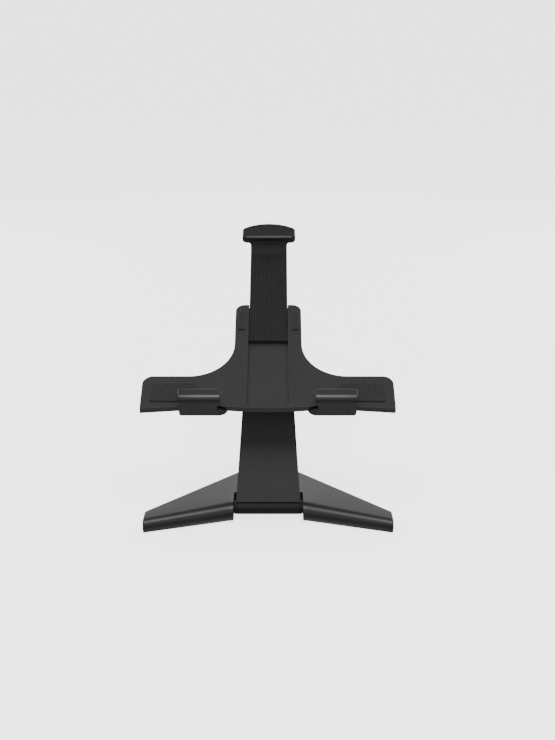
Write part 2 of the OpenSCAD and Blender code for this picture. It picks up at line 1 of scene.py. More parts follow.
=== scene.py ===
"""Looks of the tablet stand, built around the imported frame. The object's lengths are millimetres in
the local frames below, which turn them into metres. The studio is set out in metres."""

import json
import math

import bmesh
import bpy
import numpy as np
from mathutils import Matrix, Vector


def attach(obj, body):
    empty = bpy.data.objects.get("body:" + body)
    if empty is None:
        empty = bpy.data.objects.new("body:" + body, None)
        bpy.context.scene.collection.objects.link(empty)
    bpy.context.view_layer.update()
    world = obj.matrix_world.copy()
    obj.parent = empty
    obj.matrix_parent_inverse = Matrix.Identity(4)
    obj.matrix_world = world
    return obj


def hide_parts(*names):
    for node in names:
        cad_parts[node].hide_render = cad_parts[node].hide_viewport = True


MM = 0.001
# metres between vertices of a CAD mesh that are one point, and width of the faces that collapse
SAME_POINT = 0.000005
HAIR = 0.000001
# millimetres between faces of two solids that would else share a plane, which the cutter handles badly
APART = 0.01
# degrees between faces that lie in one plane, and between faces that meet in a sharp edge
FLAT_ANGLE = 0.5
SHARP_ANGLE = 25

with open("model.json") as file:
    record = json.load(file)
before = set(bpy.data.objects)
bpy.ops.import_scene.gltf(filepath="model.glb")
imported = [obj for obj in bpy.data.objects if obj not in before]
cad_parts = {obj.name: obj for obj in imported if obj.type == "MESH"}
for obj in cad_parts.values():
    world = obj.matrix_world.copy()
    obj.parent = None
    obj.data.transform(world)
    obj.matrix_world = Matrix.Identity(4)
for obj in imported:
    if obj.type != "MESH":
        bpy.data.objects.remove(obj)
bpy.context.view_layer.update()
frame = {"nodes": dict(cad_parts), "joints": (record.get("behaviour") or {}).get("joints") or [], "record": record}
joints = {joint["name"]: joint for joint in frame["joints"]}


# ---------------------------------------------------------------------------------------------
# Frames of the moving bodies

def local_frame(origin, second, third):
    """Takes millimetres along X, "second" and "third" to the row frame."""
    turn = Matrix((Vector((1, 0, 0)), Vector(second), Vector(third))).transposed().to_4x4()
    return Matrix.Translation(Vector(origin)) @ turn @ Matrix.Scale(MM, 4)


cradle_centre = Vector(joints["cradle_spin"]["pos_m"])
cradle_normal = Vector(joints["cradle_spin"]["axis"])
cradle_up = Vector(joints["clamp_slide"]["axis"])
low_hinge = Vector(joints["arm_tilt"]["pos_m"])
high_hinge = Vector(joints["cradle_tilt"]["pos_m"])
arm_up = (high_hinge - low_hinge).normalized()
arm_back_normal = arm_up.cross(Vector((1, 0, 0)))

ROW = Matrix.Scale(MM, 4)
ARM = local_frame(low_hinge, arm_back_normal, arm_up)
CRADLE = local_frame(cradle_centre, cradle_up, cradle_normal)


def node_box(node, space):
    """Lowest and highest corner of a CAD node in one of the local frames, in millimetres."""
    mesh = frame["nodes"][node].data
    inverse = np.array(space.inverted())
    points = np.array([v.co for v in mesh.vertices])
    local = points @ inverse[:3, :3].T + inverse[:3, 3]
    return local.min(axis=0), local.max(axis=0)


# ---------------------------------------------------------------------------------------------
# Mesh helpers

def arc(centre, radius, start, end, steps):
    """Points on an arc, in degrees, both ends included."""
    angles = [math.radians(start + (end - start) * i / steps) for i in range(steps + 1)]
    return [(centre[0] + radius * math.cos(a), centre[1] + radius * math.sin(a)) for a in angles]


def circle(centre, radius, turns):
    """Points round a circle, each of them once."""
    return arc(centre, radius, 0, 360 - 360 / turns, turns - 1)


def lerp(a, b, t):
    return a + (b - a) * t


def smooth(t):
    t = min(max(t, 0.0), 1.0)
    return t * t * (3 - 2 * t)


def new_object(name, mesh):
    obj = bpy.data.objects.new(name, mesh)
    bpy.context.scene.collection.objects.link(obj)
    return obj


def loft(name, rings, space, cap_first=True, cap_last=True):
    """A mesh through closed rings of equally many points, given in a local frame."""
    build = bmesh.new()
    rows = [[build.verts.new(space @ Vector(p)) for p in ring] for ring in rings]
    for low, high in zip(rows, rows[1:]):
        for i in range(len(low)):
            j = (i + 1) % len(low)
            build.faces.new((low[i], low[j], high[j], high[i]))
    if cap_first:
        build.faces.new(rows[0][::-1])
    if cap_last:
        build.faces.new(rows[-1])
    bmesh.ops.recalc_face_normals(build, faces=build.faces)
    mesh = bpy.data.meshes.new(name)
    build.to_mesh(mesh)
    build.free()
    return new_object(name, mesh)


def inset_outline(points, distance):
    """A closed outline, counter-clockwise, with each point moved inwards along its normal. A negative
    distance moves the points of a clockwise outline inwards."""
    p = np.array(points, float)
    before = p - np.roll(p, 1, axis=0)
    after = np.roll(p, -1, axis=0) - p
    before /= np.linalg.norm(before, axis=1)[:, None]
    after /= np.linalg.norm(after, axis=1)[:, None]
    n_before = np.stack([-before[:, 1], before[:, 0]], axis=1)
    n_after = np.stack([-after[:, 1], after[:, 0]], axis=1)
    middle = n_before + n_after
    middle /= np.linalg.norm(middle, axis=1)[:, None]
    stretch = 1 / np.maximum((middle * n_before).sum(axis=1), 0.5)
    return p + middle * stretch[:, None] * distance


def eased_rings(outline, low, rim):
    """Rings of a plate's lower rim, which is a quarter circle of radius "rim"."""
    rings = []
    for turn in (0, 30, 60, 90):
        a = math.radians(turn)
        ring = inset_outline(outline, rim * (1 - math.sin(a)))
        rings.append([(x, y, low + rim * (1 - math.cos(a))) for x, y in ring])
    return rings


def slab(name, outline, low, high, space):
    """A plate. The outline lies in the first two axes, low and high on the third."""
    return loft(name, [[(x, y, z) for x, y in outline] for z in (low, high)], space)


def mirrored(points):
    """A closed outline from the points of its right half, lowest first, and their mirror image."""
    return list(points) + [(-x, y) for x, y in reversed(points) if x > 0]


def shade(obj, material=None, angle=35):
    """Smooth shading with sharp edges. Without a material the mesh keeps the ones that it has."""
    if material:
        obj.data.materials.clear()
        obj.data.materials.append(material)
    obj.data.shade_smooth()
    obj.data.set_sharp_from_angle(angle=math.radians(angle))


def bevel(obj, width, segments=3, angle=35):
    """Rounds the edges sharper than "angle", and returns the modifier."""
    edge = obj.modifiers.new("edges", "BEVEL")
    edge.width = width * MM
    edge.segments = segments
    edge.limit_method = "ANGLE"
    edge.angle_limit = math.radians(angle)
    edge.use_clamp_overlap = True
    edge.harden_normals = True
    # faces that the bevel left with no width go
    weld = obj.modifiers.new("weld_edges", "WELD")
    weld.merge_threshold = HAIR
    return edge


def combine(obj, operation, *tools):
    """Cuts the tools' solids from obj or adds them to it, and deletes the tools."""
    for tool in tools:
        change = obj.modifiers.new("combine", "BOOLEAN")
        change.operation = operation
        change.material_mode = "TRANSFER"
        change.solver = "EXACT"
        change.object = tool
    bpy.context.view_layer.update()
    result = obj.evaluated_get(bpy.context.evaluated_depsgraph_get())
    mesh = bpy.data.meshes.new_from_object(result)
    obj.modifiers.clear()
    obj.data = mesh
    for tool in tools:
        bpy.data.objects.remove(tool)


def cut(obj, *tools):
    combine(obj, "DIFFERENCE", *tools)


def add(obj, *tools):
    combine(obj, "UNION", *tools)


def block(low, high, space):
    """A box between two corners, as a tool for cut and add."""
    outline = [(low[0], low[1]), (high[0], low[1]), (high[0], high[1]), (low[0], high[1])]
    return slab("tool", outline, low[2], high[2], space)


def solids(node, space):
    """Lowest and highest corner of each separate solid of a CAD node, in a local frame."""
    build = bmesh.new()
    build.from_mesh(frame["nodes"][node].data)
    bmesh.ops.remove_doubles(build, verts=build.verts, dist=SAME_POINT)
    local = space.inverted()
    boxes = []
    left = set(build.verts)
    while left:
        group = [left.pop()]
        for vert in group:
            for edge in vert.link_edges:
                other = edge.other_vert(vert)
                if other in left:
                    left.remove(other)
                    group.append(other)
        points = np.array([local @ vert.co for vert in group])
        boxes.append((points.min(axis=0), points.max(axis=0)))
    build.free()
    return sorted(boxes, key=lambda box: tuple(np.round(box[0], 2)))


def post(at, r, low, high, space, turns=32):
    """An upright cylinder, as a tool for cut and add."""
    return slab("post", circle(at, r, turns), low, high, space)


def rod(at, r, low, high, space, turns=32):
    """A cylinder along X through "at" in (y, z), as a tool for cut and add."""
    return loft("rod", [[(x, y, z) for y, z in circle(at, r, turns)] for x in (low, high)], space)


def soft_copy(node, name, widest, width_at, space, segments=3):
    """A copy of a CAD node with each sharp edge rounded. "width_at" gives the width for an edge's
    middle point and direction in a local frame, in millimetres."""
    build = bmesh.new()
    build.from_mesh(frame["nodes"][node].data)
    bmesh.ops.remove_doubles(build, verts=build.verts, dist=SAME_POINT)
    bmesh.ops.dissolve_limit(build, angle_limit=math.radians(FLAT_ANGLE), verts=build.verts,
                             edges=build.edges)
    weight = build.edges.layers.float.new("bevel_weight_edge")
    local = space.inverted()
    for edge in build.edges:
        if len(edge.link_faces) == 2 and edge.calc_face_angle(0) > math.radians(SHARP_ANGLE):
            ends = [local @ v.co for v in edge.verts]
            width = width_at((ends[0] + ends[1]) / 2, (ends[1] - ends[0]).normalized())
            edge[weight] = min(1.0, width / widest)
    mesh = bpy.data.meshes.new(name)
    build.to_mesh(mesh)
    build.free()
    obj = new_object(name, mesh)
    rounding = bevel(obj, widest, segments=segments)
    rounding.limit_method = "WEIGHT"
    return obj


def finish_piece(obj, body, slot, *nodes):
    """Parents a piece to its body's empty and hides the CAD nodes that it replaces. "slot", the piece's
    material slot, is not used.
    """
    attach(obj, body)
    if nodes:
        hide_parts(*nodes)


# ---------------------------------------------------------------------------------------------
# Materials

# patches per metre of the slow drift of tint and gloss, where the noise reaches the tint's darkest
# and lightest tones, and how far the roughness drifts
DRIFT_SCALE = 35.0
TINT_FROM, TINT_TO = 0.3, 0.7
GLOSS_LOW, GLOSS_HIGH = 0.9, 1.12
# pointiness of an edge that starts to lighten and of one that is lightened in full, how far that goes, and
# the lighter tint: this many times the colour, and lifted a little; the lighter edges are partly wear and
# partly a painted highlight
WEAR_SHEEN_FROM, WEAR_SHEEN_FULL, WEAR_SHEEN_MOST = 0.54, 0.62, 0.35
WEAR_SHEEN_GAIN, WEAR_SHEEN_LIFT = 2.2, 0.01
GRAIN_STRENGTH = 0.5


def add_node(tree, kind, **values):
    """A new shader node with some of its sockets set. An underscore stands for a socket name's blank."""
    node = tree.nodes.new("ShaderNode" + kind)
    for socket, value in values.items():
        node.inputs[socket.replace("_", " ")].default_value = value
    return node


def moulded(name, colour, roughness, grain=0.25, grain_depth=0.03, sheen=0.0, metallic=0.0,
            specular=0.5, variation=0.12):
    """Fine-textured surface: colour and gloss drift slowly over it, and a fine grain breaks the light.
    "grain" is the size of the texture and "grain_depth" its height, in millimetres."""
    material = bpy.data.materials.new(name)
    material.use_nodes = True
    tree = material.node_tree
    links = tree.links
    shader = tree.nodes["Principled BSDF"]
    shader.inputs["Metallic"].default_value = metallic
    shader.inputs["Sheen Weight"].default_value = sheen
    shader.inputs["Sheen Roughness"].default_value = 0.5
    shader.inputs["Specular IOR Level"].default_value = specular
    place = add_node(tree, "TexCoord")

    drift = add_node(tree, "TexNoise", Scale=DRIFT_SCALE, Detail=4)
    links.new(place.outputs["Object"], drift.inputs["Vector"])
    tint = add_node(tree, "ValToRGB")
    dark, light = tint.color_ramp.elements
    dark.position = TINT_FROM
    light.position = TINT_TO
    dark.color = [c * (1 - variation) for c in colour] + [1]
    light.color = [c * (1 + variation) for c in colour] + [1]
    links.new(drift.outputs["Fac"], tint.inputs["Fac"])

    # convex edges are painted lighter: partly wear, partly a painted highlight along them
    form = add_node(tree, "NewGeometry")
    wear_and_sheen_mask = add_node(tree, "MapRange", From_Min=WEAR_SHEEN_FROM, From_Max=WEAR_SHEEN_FULL, To_Max=WEAR_SHEEN_MOST)
    links.new(form.outputs["Pointiness"], wear_and_sheen_mask.inputs["Value"])
    wear_and_sheen = add_node(tree, "Mix")
    wear_and_sheen.data_type = "RGBA"
    wear_and_sheen.inputs["B"].default_value = [min(1.0, c * WEAR_SHEEN_GAIN + WEAR_SHEEN_LIFT) for c in colour] + [1]
    links.new(wear_and_sheen_mask.outputs["Result"], wear_and_sheen.inputs["Factor"])
    links.new(tint.outputs["Color"], wear_and_sheen.inputs["A"])
    links.new(wear_and_sheen.outputs["Result"], shader.inputs["Base Color"])

    gloss = add_node(tree, "MapRange", To_Min=roughness * GLOSS_LOW, To_Max=roughness * GLOSS_HIGH)
    links.new(drift.outputs["Fac"], gloss.inputs["Value"])
    links.new(gloss.outputs["Result"], shader.inputs["Roughness"])

    fine = add_node(tree, "TexNoise", Scale=1 / (grain * MM), Detail=2)
    links.new(place.outputs["Object"], fine.inputs["Vector"])
    relief = add_node(tree, "Bump", Strength=GRAIN_STRENGTH, Distance=grain_depth * MM)
    links.new(fine.outputs["Fac"], relief.inputs["Height"])
    links.new(relief.outputs["Normal"], shader.inputs["Normal"])
    return material


BLACK = (0.008, 0.008, 0.0085)
base_black = moulded("base_black", BLACK, 0.41)
arm_black = moulded("arm_black", BLACK, 0.42)
hook_black = moulded("hook_black", BLACK, 0.37, grain_depth=0.006)
# the clamp's two blacks are a tone darker than the other black plastics: painted shade on the clamp's head and
# ribs
clamp_black = moulded("clamp_black", (0.0055, 0.0055, 0.006), 0.38, grain_depth=0.02, specular=0.4)
rib_black = moulded("rib_black", (0.0065, 0.0065, 0.007), 0.7, grain_depth=0.02, specular=0.4)
cradle_black = moulded("cradle_black", (0.013, 0.012, 0.013), 0.42, grain=0.4, grain_depth=0.05)
# a lighter black than the others, lifted to stand in for the highlight along the cradle's lower rear edge: painted
# highlight there; the other dark plastic pieces share this tone
dark_black = moulded("dark_black", (0.015, 0.015, 0.015), 0.45, grain=0.4, grain_depth=0.05)
rubber_black = moulded("rubber_black", (0.009, 0.009, 0.009), 0.75, grain=0.5, sheen=0.1)
barrel_black = moulded("barrel_black", (0.006, 0.006, 0.006), 0.6, grain=0.3, grain_depth=0.02,
                        specular=0.25)
head_black = moulded("head_black", (0.013, 0.013, 0.013), 0.4, grain=0.35)
acetal = moulded("acetal", (0.72, 0.70, 0.64), 0.45, variation=0.04)
steel = moulded("steel", (0.55, 0.56, 0.58), 0.34, metallic=1.0, grain=0.5, grain_depth=0.01)
bright_steel = moulded("bright_steel", (0.66, 0.66, 0.67), 0.25, metallic=1.0, grain=0.5,
                       grain_depth=0.01)
black_steel = moulded("black_steel", (0.035, 0.035, 0.036), 0.35, metallic=0.6)
spring_steel = moulded("spring_steel", (0.5, 0.45, 0.37), 0.3, metallic=1.0)

SLOT_MATERIAL = {
    "base_plastic": base_black, "arm_plastic": arm_black, "cradle_plastic": cradle_black,
    "dark_plastic": dark_black, "hook_plastic": hook_black, "clamp_plastic": clamp_black,
    "bearing_plastic": acetal, "rubber": rubber_black, "barrel_paint": barrel_black,
    "head_paint": head_black, "plated_steel": steel, "screw_steel": bright_steel,
    "black_steel": black_steel, "spring_steel": spring_steel,
}


# ---------------------------------------------------------------------------------------------
# CAD nodes that stay: real materials and rounded edges

# metres between vertices that the weld joins, and the rims' width in millimetres
cad_gap = 0.00001
cad_rim = 0.25


def dress_cad_nodes():
    slots = {part["node"]: part["material_slot"] for part in frame["record"]["subparts"]}
    for node, obj in frame["nodes"].items():
        material = SLOT_MATERIAL[slots[node]]
        for place in obj.material_slots:
            place.material = material
        weld = obj.modifiers.new("weld", "WELD")
        weld.merge_threshold = cad_gap
        bevel(obj, cad_rim, segments=2, angle=40)


dress_cad_nodes()


# ---------------------------------------------------------------------------------------------
# Base

WALL = 2.2
BASE_FLOOR_TOP = node_box("base_floor", ROW)[1][2]
base_low, base_high = node_box("base_shell", ROW)
tip_x = base_high[0]
# the rear edge stays a hair inside the CAD's box
apex_y = base_high[1] - 0.03
lip_z = base_low[2]
notch_half = node_box("arm_barrel", ARM)[1][0] + 1
notch_back = 19
# radii of the round nose beside the notch and at the tips
nose_root_r = (base_high[2] - lip_z) / 2
nose_tip_r = 5.8
tip_sweep = -base_low[1] - nose_tip_r
# how far the straight stretch under the nose leans back, beside the notch and at the tips
root_foot = 5
tip_foot = 1.3
foot_round = 0.8
foot_steps = 3
tip_round = 0.8
tip_rear_y = -5
rear_tip_z = 11.3
rear_apex_z = 15
rear_round = 3
rear_foot_round = 1
apex_round = 9
# the top's ridge is round over this half width, and its fall to the rear steepens with this power
ridge_half = 4
top_fall = 1.5
top_steps = 26
wing_stations = 34
middle_stations = 21
station_gap = 3
# the floor's opening lies inside the notch's walls, the nose and the tips by these lengths
opening_side = 2
opening_back = 3
opening_nose = 1.5
opening_tip_nose = 2.5
opening_tip = 6
opening_tip_rear = 5
opening_apex = 3
rim_round = 0.6
hinge_at = (0, low_hinge.z / MM)
shaft_room_r = 2.8
nut_room_r = 4.2
boss_r = 3.2
pilot_r = 1.25
# cutting tools reach this far past the shell, in front of it, under it and over it
front_of_all = -60
under_all = -5
over_all = 40


def rear_y(x):
    """The base's rear edge: straight from the tip, round at the apex."""
    centre = apex_y - apex_round
    reach = math.hypot(tip_x, centre - tip_rear_y)
    slant = math.atan2(centre - tip_rear_y, tip_x) + math.asin(apex_round / reach)
    touch = apex_round * math.sin(slant)
    if abs(x) < touch:
        return centre + math.sqrt(apex_round ** 2 - x * x)
    return tip_rear_y + (tip_x - abs(x)) * math.tan(slant)


def base_section(x):
    """Closed cross-section at x in (y, z): nose that is straight below its roundest line, falling top,
    round rear edge, flat bottom."""
    out = math.sqrt(x * x + ridge_half ** 2)
    along = max(0.0, (abs(x) - notch_half) / (tip_x - notch_half))
    r = lerp(nose_root_r, nose_tip_r, along)
    nose_y = lerp(0, -tip_sweep, along)
    rear = rear_y(x)
    rear_z = lerp(rear_apex_z, rear_tip_z, min(1.0, (out - ridge_half) / (tip_x - ridge_half)))
    foot = (nose_y - r + lerp(root_foot, tip_foot, along) + foot_round, lip_z + foot_round)
    apart = (nose_y - foot[0], r - foot_round)
    lean = math.atan2(apart[1], apart[0]) + math.acos((foot_round - r) / math.hypot(*apart))
    lean = math.degrees(lean)
    points = arc(foot, foot_round, 270, lean, foot_steps)
    points += arc((nose_y, lip_z + r), r, lean, 90, 20)
    top_z = lip_z + 2 * r
    top_end = rear - rear_round
    for i in range(1, top_steps):
        t = i / top_steps
        points.append((lerp(nose_y, top_end, t), top_z - (top_z - rear_z) * t ** top_fall))
    points += arc((top_end, rear_z - rear_round), rear_round, 90, 0, 6)
    points += arc((rear - rear_foot_round, lip_z + rear_foot_round), rear_foot_round, 0, -90, foot_steps)
    return points


def hollow_section(x):
    """Cross-section of the hollow at x: a wall inside the outer one, with plain corners below."""
    outer = base_section(x)
    corner = foot_steps + 1
    plain = [outer[0]] + outer[corner:-corner] + [(outer[-corner][0], lip_z)]
    return inset_outline(plain, -WALL)


def base_stations(reach):
    """Places along X of the shell's sections. None lies close to the notch's walls."""
    wing = np.linspace(notch_half + station_gap, reach, wing_stations)
    middle = np.linspace(-notch_half + station_gap, notch_half - station_gap, middle_stations)
    return np.concatenate([-wing[::-1], middle, wing])


def tip_rounding(rings):
    """Three more rings at each end, drawn in a little, so that the tip's rim is round."""
    ends = []
    for ring in (rings[0], rings[-1]):
        side = math.copysign(1, ring[0][0])
        outline = [(y, z) for x, y, z in ring]
        steps = []
        for turn in (30, 60, 90):
            a = math.radians(turn)
            inset = inset_outline(outline, -tip_round * (1 - math.cos(a)))
            steps.append([(side * (tip_x - tip_round * (1 - math.sin(a))), y, z) for y, z in inset])
        ends.append(steps)
    return ends[0][::-1] + rings + ends[1]


def floor_outline():
    """Outline of the opening under the shell, as in the floor plate."""
    rear = node_box("base_floor", ROW)[1][1]
    near_x, far_x = notch_half + WALL + opening_side, tip_x - opening_tip
    right = [(near_x, notch_back + WALL + opening_back), (near_x, opening_nose),
             (far_x, opening_tip_nose - tip_sweep), (far_x, tip_rear_y - opening_tip_rear),
             (apex_round - opening_apex, rear)]
    return [(-x, y) for x, y in reversed(right)] + right


def round_rims(shell):
    """Rounds the shell's outer edges only, so that the small ones inside don't narrow them."""
    build = bmesh.new()
    build.from_mesh(shell.data)
    weight = build.edges.layers.float.new("bevel_weight_edge")
    local = ROW.inverted()
    near = 0.05
    for edge in build.edges:
        x, y, z = local @ ((edge.verts[0].co + edge.verts[1].co) / 2)
        on_side = abs(abs(x) - notch_half) < near
        on_back = abs(y - notch_back) < near and abs(x) < notch_half
        at_shaft = math.hypot(y - hinge_at[0], z - hinge_at[1]) < shaft_room_r + 2 * near
        if (on_side or on_back) and not at_shaft and len(edge.link_faces) == 2:
            edge[weight] = float(edge.calc_face_angle(0) > math.radians(50))
    build.to_mesh(shell.data)
    build.free()
    bevel(shell, rim_round).limit_method = "WEIGHT"


def make_base():
    """Shell of the base: outer skin, notch for the hinge, opening for the floor, hollow with bosses."""
    skin = [[(x, y, z) for y, z in base_section(x)] for x in base_stations(tip_x - tip_round)]
    shell = loft("base_cover", tip_rounding(skin), ROW)
    inner_x, inner_y = notch_half + WALL, notch_back + WALL
    notch = block((-notch_half, front_of_all, under_all), (notch_half, notch_back, over_all), ROW)
    opening = slab("opening", floor_outline(), -1, BASE_FLOOR_TOP, ROW)
    cut(shell, notch, opening, rod(hinge_at, shaft_room_r, -inner_x - 1, inner_x + 1, ROW, 24))
    hollow_x = base_stations(tip_x - tip_round - WALL)
    hollow = loft("hollow", [[(x, y, z) for y, z in hollow_section(x)] for x in hollow_x], ROW)
    cut(hollow, block((-inner_x, front_of_all, under_all), (inner_x, inner_y, over_all), ROW))
    screws = [(low + high) / 2 for low, high in solids("base_screws", ROW)]
    cut(hollow, *(post(at[:2], boss_r, under_all, over_all, ROW) for at in screws))
    pilot_top = node_box("base_screws", ROW)[1][2] + 0.5
    shaft_end = node_box("hinge_shaft", ROW)[1][0] + 0.5
    tools = [hollow] + [post(at[:2], pilot_r, under_all, pilot_top, ROW, 16) for at in screws]
    for side in (-1, 1):
        tools.append(rod(hinge_at, nut_room_r, side * (inner_x - APART), side * shaft_end, ROW))
    cut(shell, *tools)
    shade(shell, base_black)
    round_rims(shell)
    finish_piece(shell, "base", "base_plastic", "base_shell")


make_base()


# ---------------------------------------------------------------------------------------------
# Arm

arm_face = -node_box("arm_front", ARM)[0][1]
# the covers' long rims lie outside this half width at every height
arm_side_x = 10
arm_rim = 1.1
arm_ease = 0.3
bush_depth = 8
bush_bore = 4.25
shaft_bore = 3
bore_chamfer = 0.3
barrel_rim = 0.7
# the groove near each end of the hinge tube: places from the end, and depths there
barrel_groove = ((2.0, 0), (2.15, 0.25), (2.45, 0.25), (2.6, 0))
barrel_turns = 72


def arm_edge_width(middle, direction):
    """Outer rims are round, the joint of the two covers and the inner edges are only eased."""
    outer = abs(abs(middle.y) - arm_face) < 0.5 and abs(middle.x) > arm_side_x
    return arm_rim if outer and abs(direction.z) > 0.9 else arm_ease


def make_arm():
    for node, name in (("arm_front", "arm_face_cover"), ("arm_back", "arm_rear_cover")):
        cover = soft_copy(node, name, arm_rim, arm_edge_width, ARM, segments=4)
        shade(cover, arm_black)
        finish_piece(cover, "arm", "arm_plastic", node)


def make_barrel():
    """Hinge tube: turned ends with a shallow groove, and a bore that is wider for the bushes."""
    half, r, _ = node_box("arm_barrel", ARM)[1]
    step = half - bush_depth
    profile = [(step, shaft_bore), (step, bush_bore), (half - bore_chamfer, bush_bore)]
    profile += [(half, bush_bore + bore_chamfer), (half, r - barrel_rim)]
    profile += arc((half - barrel_rim, r - barrel_rim), barrel_rim, 0, 90, 4)
    profile += [(half - place, r - depth) for place, depth in barrel_groove]
    profile += [(-x, radius) for x, radius in reversed(profile)]
    rings = [[(x, y, z) for y, z in circle((0, 0), radius, barrel_turns)]
             for x, radius in profile + profile[:1]]
    tube = loft("hinge_tube", rings, ARM, cap_first=False, cap_last=False)
    # the last ring closes on the first
    build = bmesh.new()
    build.from_mesh(tube.data)
    bmesh.ops.remove_doubles(build, verts=build.verts, dist=HAIR)
    bmesh.ops.recalc_face_normals(build, faces=build.faces)
    build.to_mesh(tube.data)
    build.free()
    shade(tube, barrel_black)
    finish_piece(tube, "arm", "barrel_paint", "arm_barrel")


make_arm()
make_barrel()


# ---------------------------------------------------------------------------------------------
# Cradle and tilt head

cradle_face_n = node_box("cradle_front", CRADLE)[1][2]
wing_back = -6.5
turntable_n = -10.5
turntable_r = 30
face_rim = 0.9
wing_rim = 1.3
disc_rim = 0.6
joint_ease = 0.25


def front_edge_width(middle, direction):
    """The face's rim is round, the edges at the joint are only eased."""
    on_rim = middle.z > cradle_face_n - 0.4 and abs(direction.z) < 0.5
    return face_rim if on_rim else joint_ease


def back_edge_width(middle, direction):
    """The wings' rims are round, the turntable's seat is less so, and other edges are only eased."""
    on_rim = abs(middle.z - wing_back) < 0.3 and abs(direction.z) < 0.5
    if on_rim and middle.xy.length > turntable_r:
        return wing_rim
    return disc_rim if middle.z < turntable_n else joint_ease


def knuckle_edge_width(middle, direction):
    return disc_rim


def make_cradle():
    for node, name, rim, width_at, body, slot in (
            ("cradle_front", "cradle_face", face_rim, front_edge_width, "cradle", "cradle_plastic"),
            ("cradle_back", "cradle_rear", wing_rim, back_edge_width, "cradle", "dark_plastic"),
            ("head_knuckle", "head_casting", disc_rim, knuckle_edge_width, "head", "head_paint")):
        piece = soft_copy(node, name, rim, width_at, CRADLE)
        shade(piece, SLOT_MATERIAL[slot])
        finish_piece(piece, body, slot, node)


make_cradle()


# ---------------------------------------------------------------------------------------------
# Hooks

hook_low, hook_high = node_box("hook_right", CRADLE)
hook_half = 17.5
hook_centre = hook_high[0] - hook_half
hook_out_u = hook_low[1]
hook_out_n = hook_high[2]
hook_top_u = hook_high[1]
hook_wall = 3.2
hook_bend = 5.6
hook_corner = 1.0
lip_top = -80
hook_end_n = wing_back + 0.05
tongue_half = 15
tongue_n = (-4.8, -2.7)
# the band's sides are drawn in at the waist, on the inner side and less on the outer one
inner_waist, inner_waist_at = 2.7, 0.66
outer_waist, outer_waist_at = 0.5, 0.60
waist_span = 0.2
# from here to its end the band's foot widens inwards, lifts at its inner edge and tapers outside
foot_from = 0.72
foot_flare, foot_flare_power = 6.2, 1.3
foot_taper, foot_taper_span = 1.6, 0.2
foot_lift, foot_lift_from, foot_lift_span = 2.0, 0.81, 0.06


def band_path():
    """Centre line of the hook's band in (u, n), from the lip's top round to the plate, with its direction."""
    half = hook_wall / 2
    front = hook_out_n - half
    floor = hook_out_u + half
    centre = (hook_out_u + hook_bend, hook_out_n - hook_bend)
    r = hook_bend - half
    path = [(lerp(lip_top - half, centre[0], i / 8), front, -1, 0) for i in range(8)]
    for i in range(13):
        a = math.radians(90 + 90 * i / 12)
        path.append((centre[0] + r * math.cos(a), centre[1] + r * math.sin(a), -math.sin(a), math.cos(a)))
    path += [(floor, lerp(centre[1], hook_end_n, i / 24), 0, -1) for i in range(1, 25)]
    return path


def band_ring(place, t, draw_in=0.0):
    """Cross-section of the band at a place on its path, "t" of the way along, with its rim drawn in."""
    u, n, du, dn = place
    inner = inner_waist * math.exp(-((t - inner_waist_at) / waist_span) ** 2)
    outer = outer_waist * math.exp(-((t - outer_waist_at) / waist_span) ** 2)
    flare = foot_flare * smooth((t - foot_from) / (1 - foot_from)) ** foot_flare_power
    taper = foot_taper * smooth((t - foot_from) / foot_taper_span)
    lift = foot_lift * smooth((t - foot_lift_from) / foot_lift_span)
    x0 = hook_centre - hook_half + inner + draw_in
    x1 = hook_centre + hook_half - outer - draw_in
    deep = hook_wall - 2 * draw_in
    r = min(hook_corner, deep * 0.49)
    shape = []
    for cx, ct, start in ((x1 - r, deep / 2 - r, 0), (x0 + r, deep / 2 - r, 90),
                          (x0 + r, -deep / 2 + r, 180), (x1 - r, -deep / 2 + r, 270)):
        shape += arc((cx, ct), r, start, start + 90, 5)
    ring = []
    for x, depth in shape:
        inner_share = (x1 - x) / (x1 - x0)
        level = 0.5 - depth / deep
        x -= flare * (1 - level) * smooth((inner_share - 0.5) * 2)
        x -= taper * level ** 2 * smooth((0.5 - inner_share) * 2)
        depth += lift * smooth(1 - 2 * level)
        ring.append((x, u - dn * depth, n + du * depth))
    return ring


def make_hook(side):
    """A hook: band with a round lip and an eased end, and the tongue that holds it in the cradle."""
    word = "right" if side > 0 else "left"
    path = band_path()
    half = hook_wall / 2
    lengths = [0.0]
    for p, q in zip(path, path[1:]):
        lengths.append(lengths[-1] + math.dist(p[:2], q[:2]))
    rings = []
    u, n, du, dn = path[0]
    for i in range(1, 7):
        a = math.pi / 2 * i / 6
        inset = half * 0.96 * (1 - math.sin(a))
        rings.append(band_ring((u + half * math.cos(a), n, du, dn), 0.0, inset))
    for place, run in zip(path[1:], lengths[1:]):
        rings.append(band_ring(place, run / lengths[-1]))
    u, n, du, dn = path[-1]
    for past, inset in ((0.2, 0.15), (0.3, 0.4)):
        rings.append(band_ring((u, n - past, du, dn), 1.0, inset))
    hook = loft("hook_band", rings, CRADLE)
    add(hook, block((hook_centre - tongue_half, hook_out_u + 1, tongue_n[0]),
                    (hook_centre + tongue_half, hook_top_u, tongue_n[1]), CRADLE))
    if side < 0:
        hook.data.transform(Matrix.Scale(-1, 4, Vector((1, 0, 0))))
        hook.data.flip_normals()
    hook.name = "hook_band_" + word
    hook.data.name = hook.name
    shade(hook, hook_black, 50)
    finish_piece(hook, "cradle", "hook_plastic", "hook_" + word)


make_hook(1)
make_hook(-1)


# ---------------------------------------------------------------------------------------------
# Clamp: ribbed stem with a concave throat, arched head that is wider than the stem

